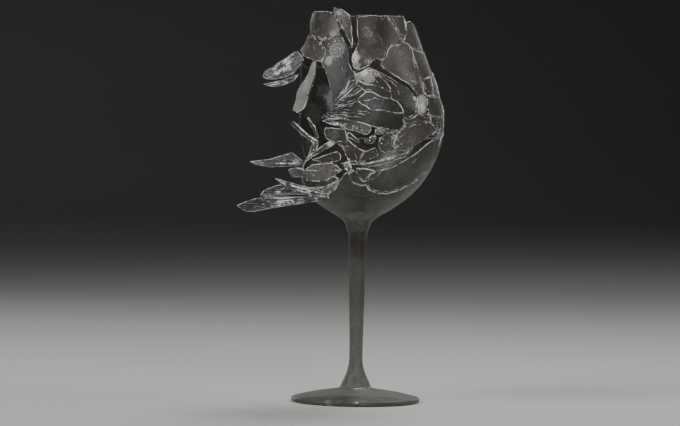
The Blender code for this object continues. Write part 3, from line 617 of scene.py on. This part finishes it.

# Single bright cracks and scratches, and a few bright threads that are painted highlights: the
# shard, the thickness, and the course by angle and height, or by X and Z on the peeled shards and
# on the foot.
HAIRLINES_AND_PAINTED_HIGHLIGHTS = (
    ("fan_plate", 0.24, ((-15.5, 207.5), (-13, 203.5), (-10.8, 197))),
    ("fan_plate", 0.2, ((-10, 201.5), (-11.2, 197.5))),
    ("fan_plate", 0.24, ((-8.2, 200.5), (-10.2, 196.5), (-13.5, 191), (-17.6, 186.2))),
    ("fan_blade_upper", 0.14, ((-4, 198), (-8.5, 193.5), (-13.5, 189))),
    ("fan_blade_middle", 0.14, ((-1, 194.5), (-6.5, 191), (-12.5, 187.4), (-17, 185))),
    ("fan_blade_lower", 0.18, ((-1.5, 188.5), (-10.5, 185.8), (-17.5, 184))),
    ("wing", 0.16, ((-18, 182.2), (-10.5, 183.3), (-4.5, 184.3))),
    ("dome_crown", 0.3, ((-1, 202.8), (2.5, 203.6), (7, 205.8), (10.5, 205.3), (13, 203))),
    ("dome_crown", 0.16, ((2, 199.5), (6, 201), (10, 200.5), (13.5, 198))),
    ("dome_lens", 0.34, ((2.5, 187), (6.5, 188), (8.5, 188.2), (10.5, 189.2))),
    ("dome_lens", 0.14, ((10.5, 189.2), (13, 188), (17, 187.5))),
    ("dome_band", 0.12, ((2, 193.5), (4.5, 194.2), (9, 193.6))),
    ("dome_right", 0.36, ((42.4, 189.4), (42, 184.5), (41.8, 180.6), (38.5, 178.6), (35, 178))),
    ("dome_right", 0.14, ((14, 204), (20, 201.5), (27, 197), (30, 192))),
    ("wing", 0.24, ((-14, 179.8), (-2, 179.8), (4.5, 178.8))),
    ("wing", 0.16, ((-16, 181.5), (-7.5, 181.5), (2.5, 181), (8.5, 180))),
    ("wing", 0.24, ((-27, 176.4), (-20.5, 177.3), (-12.5, 176.8), (-9, 176.4))),
    ("wing", 0.16, ((-24.5, 177.8), (-18, 180), (-9, 180.7))),
    ("wing", 0.16, ((-25.5, 177), (-14, 178.5), (-4, 177.6), (2, 177))),
    ("wing", 0.14, ((-24, 178.2), (-19, 181.2), (-12, 182.4))),
    ("ridged_slat", 0.28, ((-25, 174), (-17, 173), (-9, 171.5), (-0.5, 168.7), (5, 167.4))),
    ("ridged_slat", 0.22, ((-7, 171.3), (-1.5, 171), (2.5, 169.6), (-0.5, 168.7), (-5, 169.4))),
    ("left_plate", 0.26, ((-4, 157), (-3, 158), (-1.5, 159))),
    ("left_plate", 0.16, ((-3, 155), (-1, 152))),
    ("left_plate", 0.2, ((-16, 162.5), (-9, 161.5), (-6.5, 163.5))),
    ("flank_plate", 0.5, ((28.6, 169), (27, 167.4), (25.2, 164.4), (24.4, 161.4), (25.8, 158.8))),
    ("flank_plate", 0.14, ((25, 163), (28, 164.5), (33, 168.5))),
    ("flank_plate", 0.16, ((31, 169.5), (38, 172.6), (46, 173))),
    ("cup_crescent", 0.12, ((49, 156.5), (46.5, 152), (42, 148.5))),
    ("cup_crescent", 0.3, ((12, 133.5), (20.5, 131.5), (30.5, 131.4), (42.5, 133), (52, 135.8),
                           (60, 139), (65.4, 143.2), (69.4, 146.6), (71.4, 151.4), (74, 156))),
    ("cup_crescent", 0.16, ((33, 133.2), (42, 134.6), (51, 137.4), (58.6, 140.8), (64, 145.2))),
    ("cup_chip", 0.26, ((-1, 141.5), (2, 139.2), (5, 139), (7.5, 141))),
    # A painted highlight: bright threads along the crease where the stem meets the foot.
    ("foot_stem_and_cup", 0.28, ((-1.5, 8.7), (3, 8.75), (7, 8.8), (9.6, 9.2))),
    ("foot_stem_and_cup", 0.3, ((9, 9.4), (9.1, 10.4), (8.8, 11.6))),
    ("foot_stem_and_cup", 0.22, ((-13.6, 0.7), (-16, 0.5), (-18.4, 1.1), (-19.2, 2.4), (-18.4, 4.0),
                                 (-16.4, 4.7), (-14.6, 4.3))),
    ("foot_stem_and_cup", 0.14, ((-17.8, 1.6), (-17.2, 2.9), (-15.6, 3.3))),
    ("foot_stem_and_cup", 0.3, ((-1.6, 2.3), (0, 2.2), (1.6, 2.3))),
    ("left_leaf_top", 0.2, ((-35, 146.3), (-31.5, 147.3), (-26.5, 147.3))),
    ("left_leaf_top", 0.16, ((-24, 147.5), (-23.5, 144.4))),
    ("left_leaf_middle", 0.18, ((-40.5, 141.5), (-37.5, 140))),
    ("left_shoulder", 0.2, ((-50, 221), (-46, 218))),
    ("left_shoulder", 0.3, ((-43.5, 222.3), (-39, 220.4), (-36, 219))),
    ("left_shoulder", 0.16, ((-58, 218), (-55, 223), (-47, 222.5))),
    # A painted highlight: the two thick bright threads low on the front plate's left.
    ("rim_plate_front", 0.6, ((-6.2, 217.5), (-6.4, 213.5), (-4.6, 210.2))),
    ("rim_plate_front", 1.1, ((-6.6, 216.8), (-6.6, 213.5), (-5.4, 210.8))),
    ("rim_plate_front", 0.08, ((0.5, 230.5), (4.5, 232), (8.5, 230.5))),
    ("rim_plate_front", 0.08, ((1.5, 225.5), (4.5, 226.5), (7, 225.5))),
    ("rim_plate_front", 0.08, ((7.5, 229.5), (11, 228), (9.5, 226))),
    ("rim_plate_front", 0.08, ((12.5, 231), (16, 232.5))),
    ("rim_plate_front", 0.2, ((-5, 238), (8, 238.4), (22, 238.6), (30, 238.8))),
    ("rim_chip", 0.11, ((36, 238), (40.2, 232.5), (45, 226.5))),
    ("rim_spike", 0.2, ((-33.5, 241.6), (-26, 237.2), (-20, 232.2), (-14.5, 226.8))),
    ("rim_spike", 0.3, ((-9.6, 234.5), (-9, 230), (-8, 224), (-7.6, 220.6))),
    ("rim_plate_left", 0.2, ((-59.5, 236), (-58, 232), (-55.5, 228))),
    ("shoulder_plate_front", 0.22, ((41, 200.5), (47, 198.4), (52, 196))),
    ("rim_chip", 0.34, ((56.5, 238.6), (55.4, 234), (53.6, 229.4))),
    ("rim_spike", 0.2, ((-11.5, 237), (-10.4, 233), (-9.4, 228))),
    ("shoulder_plate_front", 0.18, ((51.5, 214.5), (51.5, 211), (51, 207))),
    ("side_chip", 0.3, ((47, 189.6), (46.6, 184.6), (45.4, 180.8))),
    ("upper_slat", 0.45, ((-59, 196), (-54, 195.5), (-47, 196.3), (-41, 199.3), (-38.4, 202))),
    ("upper_fan", 0.3, ((-59, 202), (-53, 200), (-47, 200.6), (-42, 202.6), (-39.6, 205.2))),
    ("low_blade", 0.35, ((-66, 117.5), (-58, 117), (-48, 119), (-38, 121.4), (-30, 124))),
    ("low_needle", 0.6, ((-50, 138), (-44, 134.6), (-36, 131.4), (-27, 129), (-20, 128.2))),
    ("low_needle", 0.3, ((-46, 137), (-38, 134), (-28, 131.6), (-20, 129.6))),
    ("rim_plate_right", 0.14, ((58, 218.6), (66, 219.5), (74.5, 220.5))))

# Bundles of ridges: both ends of the line where they start, and of the one where they stop,
# how many, and how thick.
BUNDLES = (
    ("wing", (-27, 176.3), (-23, 179), (10, 173), (2, 181.5), 8, 0.1),
    ("ridged_slat", (-26, 174.2), (-20, 174.8), (4.5, 167.3), (7.5, 171), 10, 0.17),
    ("left_band", (-58, 127), (-52, 127), (-22, 134.5), (-18, 137.5), 2, 0.3),
    ("left_band", (-66, 129), (-60, 127.5), (-15, 141.5), (-18, 137), 9, 0.2),
    ("long_slat", (0, 147.4), (0, 148.7), (38, 153.7), (40, 155.6), 9, 0.16),
    ("left_plate", (-22, 164), (-16, 162), (-6, 152), (-3, 158), 5, 0.12),
    ("middle_chip", (11, 170), (12, 167.5), (24, 166.5), (27, 169), 5, 0.16),
    ("upper_fan", (-35.6, 212), (-38, 207), (-59, 203.5), (-57, 199.5), 24, 0.2),
    ("upper_fan", (-38.5, 216.5), (-36, 213), (-52, 208), (-59, 202), 10, 0.26),
    ("upper_slat", (-38.5, 202), (-40, 199.5), (-58, 196.4), (-54, 195), 10, 0.2),
    ("middle_blade", (-35, 147.2), (-36, 149.5), (-65, 148.6), (-55, 146), 14, 0.22),
    ("middle_blade", (-35, 147.2), (-35.5, 148), (-41, 154.3), (-53, 150.6), 6, 0.16),
    ("low_needle", (-19, 127.6), (-19.5, 130), (-50.5, 138.2), (-46, 134.3), 9, 0.24),
    ("low_leaf", (-30.5, 129.5), (-33, 132), (-59, 128.6), (-50, 134), 9, 0.2),
    ("low_blade", (-26, 125), (-29, 127.2), (-67, 118), (-60, 126.3), 10, 0.22),
    ("upper_fan", (-37, 212), (-40, 206), (-58, 203.5), (-55, 200), 5, 0.26),
    ("middle_blade", (-36, 147.4), (-37, 149), (-64, 148.4), (-54, 146.5), 6, 0.38),
    ("low_needle", (-20, 128), (-20, 129.6), (-50, 137.8), (-46, 134.8), 3, 0.45),
    ("low_leaf", (-31, 130), (-34, 132), (-58, 128.8), (-50, 133.4), 2, 0.4),
    ("low_blade", (-28, 125.4), (-31, 126.8), (-60, 119.5), (-50, 125), 2, 0.4),
    ("left_band", (-60, 129), (-56, 128.2), (-17, 140), (-20, 137), 4, 0.4),
    ("ridged_slat", (-25, 174.3), (-20, 174.6), (3, 168), (5.5, 170.4), 2, 0.3))

# Crushed places: angle, height, reach in millimetres, how many crumbs, and the largest.
CRUSHED = (
    (-9, 147, 5, 110, 0.8), (-2.5, 146.5, 4, 50, 0.7), (-16, 146.5, 4, 30, 0.5),
    (4, 203.5, 7, 90, 0.4), (10, 209, 5, 40, 0.5), (-43, 224, 3, 16, 0.4),
    (-37, 223.6, 3, 16, 0.4), (-31, 224, 3, 16, 0.4), (-25, 225, 3, 16, 0.4),
    (-21.5, 217.5, 7, 120, 0.25), (8, 164, 9, 50, 0.6), (55, 192, 5, 30, 0.5),
    (50, 179, 6, 50, 0.6), (84, 197, 8, 70, 0.7), (-74, 237, 4, 20, 0.5), (88, 181, 7, 50, 0.7),
    (86, 168, 6, 40, 0.6), (66, 170, 7, 40, 0.5), (-34, 160, 7, 50, 0.6), (26, 159, 6, 40, 0.5),
    (-24, 176, 5, 40, 0.4))


def touch(node, across, height):
    """The place on a finished shard's skin, and the way out of it, at an angle and a height."""
    if node in PEELED or height < FOOT_TOP:
        start = Vector((across * MM, -IN_FRONT * MM, height * MM))
        aim, reach = Vector((0, 1, 0)), IN_FRONT + 10
    else:
        start = on_wall(across, height, STAND_OFF)
        aim, reach = -wall_normal(start), STAND_OFF + 3
    place, out = skins[node].ray_cast(start, aim, reach * MM)[:2]
    return (place, out) if place is not None else None


def course(node, stations, thickness, wander, seed):
    """Places and radii of a tapered thread that is laid along a line on a shard."""
    pieces = []
    for a, b in zip(stations, stations[1:]):
        count = max(2, round(math.dist(a, b) / THREAD_STEP))
        pieces += [(a[0] + (b[0] - a[0]) * k / count, a[1] + (b[1] - a[1]) * k / count)
                   for k in range(count)]
    pieces.append(stations[-1])
    thread = []
    for k, (across, height) in enumerate(pieces):
        stray = noise.noise(Vector((across * 0.35, height * 0.35, seed))) * wander
        found = touch(node, across + stray, height + stray)
        if found:
            place, out = found
            share = (k + 0.5) / len(pieces)
            swell = 0.65 + 0.7 * noise.noise(Vector((across, height, seed + 9)))
            radius = thickness * math.sin(math.pi * share) ** 0.5 * max(0.15, swell)
            thread.append((place + out * radius * 0.25 * MM, radius * MM))
    return thread


def threads(name, courses, material):
    """Thin tapered threads of glass, joined as one piece."""
    curve = bpy.data.curves.new(name, "CURVE")
    curve.dimensions, curve.bevel_depth, curve.bevel_resolution = "3D", 1.0, 0
    curve.use_fill_caps = True
    for line in courses:
        if len(line) > 2:
            spline = curve.splines.new("POLY")
            spline.points.add(len(line) - 1)
            for point, (place, radius) in zip(spline.points, line):
                point.co, point.radius = (*place, 1), radius
    rope = bpy.data.objects.new(name, curve)
    shape = bmesh.new()
    shape.from_mesh(bpy.data.meshes.new_from_object(rope))
    bpy.data.objects.remove(rope)
    for face in shape.faces:
        face.material_index = BREAK
    made_piece(name, shape, [], [material] * 3)


def slot_of(node):
    """The record's material slot that a node takes its finish from."""
    return ("blown_glass" if node == "foot_stem_and_cup"
            else "crazed_glass" if node.startswith(CRAZED) else "shard_glass")


def ridge_threads(material):
    """Every hairline, painted highlight and bundle of ridges, as one piece for each finish they lie
    on.
    """
    pick = random.Random(7)
    for slot_name in ("blown_glass", "shard_glass", "crazed_glass"):
        courses = []
        for k, (node, thickness, stations) in enumerate(HAIRLINES_AND_PAINTED_HIGHLIGHTS):
            if slot_of(node) == slot_name:
                wander = 0.2 if node == "foot_stem_and_cup" else 0.9
                courses.append(course(node, stations, thickness, wander, k))
        for node, root_a, root_b, tip_a, tip_b, count, thickness in BUNDLES:
            if slot_of(node) != slot_name:
                continue
            for k in range(count):
                u = (k + pick.random()) / count
                start, end = pick.uniform(0, 0.45), pick.uniform(0.55, 1)
                root = [a + (b - a) * u for a, b in zip(root_a, root_b)]
                tip = [a + (b - a) * u for a, b in zip(tip_a, tip_b)]
                ends = [[a + (b - a) * t for a, b in zip(root, tip)] for t in (start, end)]
                courses.append(course(node, ends, thickness * pick.uniform(0.5, 1.3), 0.7, k))
        threads("ridges_on_" + slot_name, courses, material)


def crumb(shape, place, out, size, pick):
    """A low, angular chip of glass that lies on a surface."""
    turn = Euler((pick.uniform(-0.5, 0.5), pick.uniform(-0.5, 0.5), pick.uniform(0, 6.3)))
    lie = out.to_track_quat("Z", "Y").to_matrix() @ turn.to_matrix()
    squeeze = Vector((1, pick.uniform(0.4, 0.9), pick.uniform(0.3, 0.6))) * size
    for vert in bmesh.ops.create_icosphere(shape, subdivisions=1, radius=MM)["verts"]:
        vert.co = place + lie @ Vector([part * pull * pick.uniform(0.65, 1.2)
                                        for part, pull in zip(vert.co, squeeze)])


def crumbs(material):
    """Crumbs along every broken edge, and heaps of them where the glass is crushed."""
    pick = random.Random(11)
    shape = bmesh.new()
    for node in sorted(lips):
        places = lips[node]
        share = 0.05 if node.startswith("back") or node in PEELED else 0.11
        for place, out in pick.sample(places, round(len(places) * share)):
            crumb(shape, place, out, 0.14 + 0.42 * pick.random() ** 3, pick)
    near = [node for node in skins if node not in PEELED]
    for angle, height, reach, count, largest in CRUSHED:
        for _ in range(count):
            turn, away = pick.uniform(0, math.tau), reach * pick.random() ** 0.7
            at = angle + math.degrees(away * math.cos(turn) / wall_curve(height)[0])
            up = height + away * math.sin(turn)
            hits = [hit for hit in (touch(node, at, up) for node in near) if hit]
            if hits:
                start = on_wall(at, up, STAND_OFF)
                place, out = min(hits, key=lambda hit: (hit[0] - start).length)
                crumb(shape, place, out, 0.12 + largest * pick.random() ** 2.5, pick)
    for face in shape.faces:
        face.material_index = BREAK
    made_piece("crumbs", shape, [], [material] * 3)


# ---------------------------------------------------------------- scene

MIDDLE = (0, 0, 0.16)     # what the lights aim at


def stage():
    """A pale floor that curves up into a wall all round, so that no horizon shows."""
    shape = bmesh.new()
    profile = [(0, 0), (0, 3000), (60, 3600), (260, 4100), (700, 4500), (1500, 4700), (4500, 4750)]
    spun(shape, smooth_profile(profile, 6), 64)
    bmesh.ops.remove_doubles(shape, verts=shape.verts[:], dist=1 * MM)
    for face in shape.faces:
        face.smooth = True
    mesh = bpy.data.meshes.new("studio_floor")
    shape.to_mesh(mesh)
    shape.free()
    made = Recipe("pale_floor")
    mesh.materials.append(made.done((0.5, 0.5, 0.49, 1), 0.5, made.bump(made.noise(400), 0.01)))
    floor = bpy.data.objects.new("studio_floor", mesh)
    bpy.context.scene.collection.objects.link(floor)


def light(name, place, size, power, spread):
    """A soft panel of light, aimed at the middle of the glass."""
    lamp = bpy.data.lights.new(name, "AREA")
    lamp.shape = "RECTANGLE"
    lamp.size, lamp.size_y = size
    lamp.energy = power
    lamp.spread = math.radians(spread)
    thing = bpy.data.objects.new(name, lamp)
    thing.location = place
    thing.rotation_euler = (Vector(MIDDLE) - Vector(place)).to_track_quat("-Z", "Y").to_euler()
    thing.visible_camera = False
    bpy.context.scene.collection.objects.link(thing)


def studio():
    """Soft panels in front, above and behind, and a little light in the air."""
    light("key_softbox", (-1.45, -1.0, 1.65), (2.1, 2.1), 7.6, 40)
    light("front_softbox", (0.6, -2.0, 0.95), (2.4, 1.3), 4.2, 34)
    light("right_softbox", (1.6, -0.1, 1.5), (1.6, 1.6), 1.9, 40)
    light("back_softbox", (0.5, 1.0, 1.9), (1.0, 1.0), 2.4, 45)
    light("left_strip", (-0.75, 1.3, 0.62), (0.4, 1.0), 0.3, 45)
    light("right_strip", (0.6, 1.4, 0.62), (0.3, 1.0), 0.12, 45)
    world = bpy.data.worlds.new("studio_air")
    world.use_nodes = True
    world.node_tree.nodes["Background"].inputs["Color"].default_value = (1, 1, 1, 1)
    world.node_tree.nodes["Background"].inputs["Strength"].default_value = 0.025
    bpy.context.scene.world = world


def camera():
    """Level with the bowl, a little above the foot, and tilted by less than a degree."""
    place, aim = Vector((0, -2.3, 0.2)), Vector((-0.0112, 0, 0.117))
    tilt = Matrix.Rotation(math.radians(0.85), 4, "Z")
    data = bpy.data.cameras.new("camera")
    data.sensor_width, data.lens, data.clip_end = 36, 196.4, 50
    thing = bpy.data.objects.new("camera", data)
    bpy.context.scene.collection.objects.link(thing)
    turn = (aim - place).to_track_quat("-Z", "Y").to_matrix().to_4x4()
    thing.matrix_world = Matrix.Translation(place) @ turn @ tilt
    bpy.context.scene.camera = thing


def edge_finishes():
    """The finishes of the breaks, threads and crumbs, by name. Their bright parts are painted
    glints, and the lips, threads and crumbs also carry a painted glow.
    """
    bright = (0.96, 0.955, 0.94)
    return {
        "side": broken_edge("broken_side", (0.03, 0.028, 0.024), (0.42, 0.41, 0.385),
                            (0.42, 0.62), 6.0, cover=0.7),
        "tight_side": broken_edge("tight_side", (0.015, 0.014, 0.012), (0.12, 0.117, 0.11),
                                  (0.42, 0.62), cover=0.3),
        "lip": broken_edge("broken_lip_painted_glow", (0.05, 0.048, 0.044), bright, (0.42, 0.54), painted_glow=0.14),
        "far_side": broken_edge("far_side", (0.015, 0.014, 0.012), (0.09, 0.087, 0.08),
                                (0.42, 0.62), 6.0, cover=0.5),
        "far_lip": broken_edge("far_lip", (0.03, 0.028, 0.024), (0.3, 0.29, 0.27), (0.42, 0.62)),
        "ridge": broken_edge("ridge_glass_painted_glow", (0.08, 0.077, 0.07), bright, (0.44, 0.6), 5.0, 0.12),
        "crumb": broken_edge("crumb_glass_painted_glow", (0.1, 0.097, 0.09), bright, (0.34, 0.56), 3.0, 0.12)}


def skin_finishes():
    """The finishes of the skins, by name."""
    finishes = {
        # Painted shade: the inner skin is darker than the outer, as the inside of the bowl is in
        # shade; its stains are marks.
        "inner": dusty_glass("inner_wall_painted_shade", (0.025, 0.022, 0.019), (0.075, 0.069, 0.061),
                             stains=INNER_MARKS),
        "blown": dusty_glass("blown_glass", (0.046, 0.048, 0.037), (0.08, 0.082, 0.067),
                             cover=0.62, matt=0.36, dust=0.4, stains=STEM_MARKS, shine=0.25,
                             bloom=0.15),
        "plain": dusty_glass("shard_glass", (0.049, 0.044, 0.038), (0.092, 0.083, 0.072),
                             marks=MARKS),
        # Painted light: a lighter copy of the plain glass, for shards whose tilt catches more
        # light.
        "pale": dusty_glass("pale_shard_glass_painted_light", (0.067, 0.061, 0.054), (0.125, 0.115, 0.102),
                            marks=MARKS, matt=0.24, shine=0.3),
        "splinter": dusty_glass("splinter_glass", (0.16, 0.153, 0.144), (0.34, 0.33, 0.31),
                                cover=0.7, matt=0.24, dust=1.6, marks=MARKS),
        "milky": dusty_glass("milky_shard_glass", (0.14, 0.13, 0.123), (0.23, 0.22, 0.208),
                             cover=0.55, marks=MARKS),
        "far": dusty_glass("far_shard_glass", (0.06, 0.057, 0.052), (0.13, 0.122, 0.113)),
        "crazed": dusty_glass("crazed_glass", (0.03, 0.028, 0.026), (0.062, 0.057, 0.052),
                              cover=0.52, marks=CRAZED_MARKS, streaks=0.4, disc=DISC,
                              matt=0.26, shine=0.25)}
    for kind, tilt, tone in LEAVES:
        finishes[kind] = dusty_glass(kind + "_layers", [0.055 * tone] * 3, [0.13 * tone] * 3,
                                     cover=0.6, grain_along=(tilt, 0.7))
    return finishes


def skin_of(node):
    """The name of the finish on a shard's outer skin."""
    if node in LAYERED:
        return next(kind for kind, _, _ in LEAVES if node.startswith(kind))
    if node.startswith(CRAZED) or node == "wing":
        return "crazed"
    if node.startswith("back"):
        return "far"
    lists = (("splinter", SPLINTERED), ("pale", PALE_BY_PAINTED_LIGHT), ("milky", MILKY), ("blown", GREENISH))
    return next((name for name, nodes in lists if node in nodes), "plain")


def edges_of(node):
    """The names of the finishes on a shard's break and on its lip."""
    if node.startswith("back"):
        return "far_side", "far_lip"
    return ("tight_side" if is_tight(node) else "side"), "lip"


def build():
    """Dress every node, lay the threads and crumbs, and set the studio up."""
    edges, finishes = edge_finishes(), skin_finishes()
    inner = finishes["inner"]
    foot_stem_and_cup([finishes["blown"], inner, edges["side"], edges["lip"]])
    for node in sorted(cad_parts):
        if node != "foot_stem_and_cup":
            skin = finishes[skin_of(node)]
            breaks = [edges[name] for name in edges_of(node)]
            shard(node, [skin, skin if node in PEELED else inner] + breaks)
    ridge_threads(edges["ridge"])
    crumbs(edges["crumb"])
    stage()
    studio()
    camera()


build()
